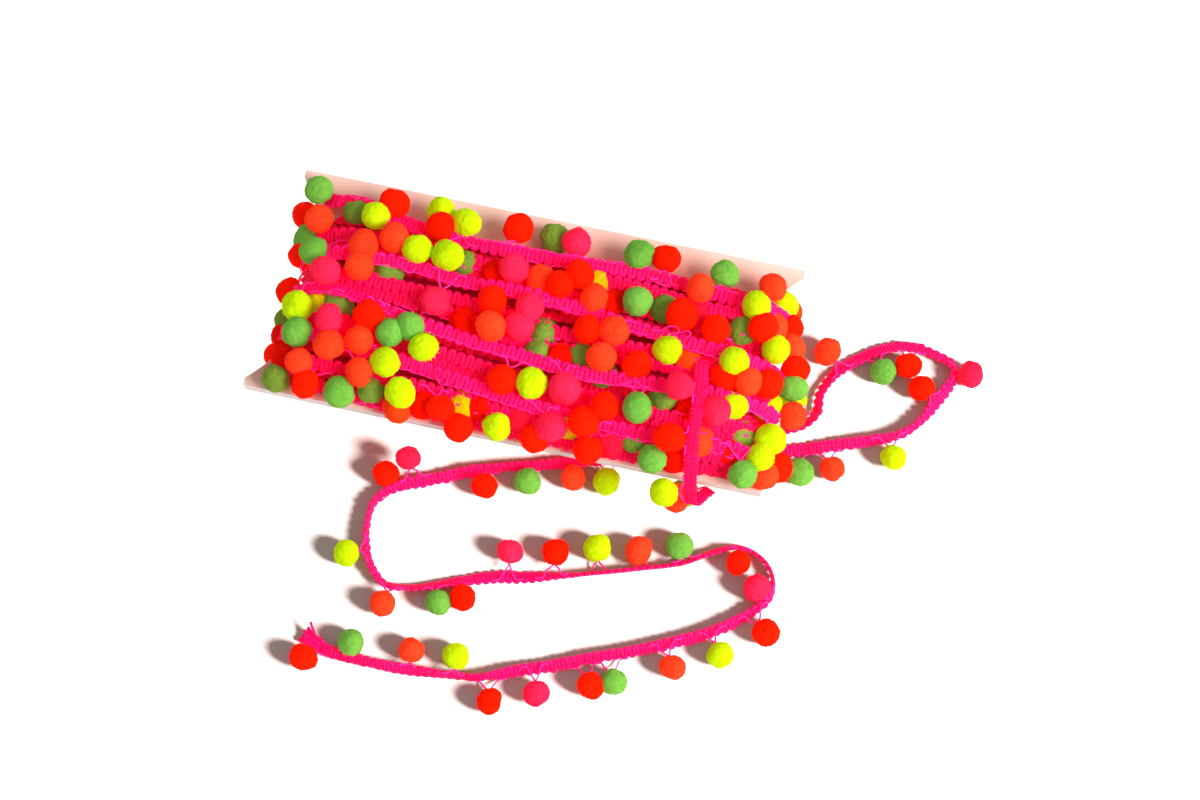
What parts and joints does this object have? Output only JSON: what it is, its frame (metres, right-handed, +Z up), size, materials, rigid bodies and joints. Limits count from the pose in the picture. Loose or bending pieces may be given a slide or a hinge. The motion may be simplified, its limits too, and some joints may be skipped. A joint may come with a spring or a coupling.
{
  "type": "roll of pompom trim",
  "caption": "Pompom braid trim wound lengthwise round a flat notched foam card, strapped once across, with a slack loop and a loose tail.",
  "frame": {"origin": "centre of the flat spot under the winding, below the middle of the card, at floor level", "axes": "+X along the card's long side towards the strap and the slack loop, +Y across the card away from the loose tail, +Z up, square to the card"},
  "size_m": [0.2753, 0.1906, 0.0534],
  "materials": {
    "card": "matte white paper facing with a light grey foam edge",
    "trim": "matte hot pink yarn braid with matte shorn pompoms in red-orange, green, coral, yellow and pink"
  },
  "bodies": {
    "root": {"card": "card", "winding": "trim", "strap": "trim", "loop": "trim", "tail": "trim"}
  },
  "joints": []
}
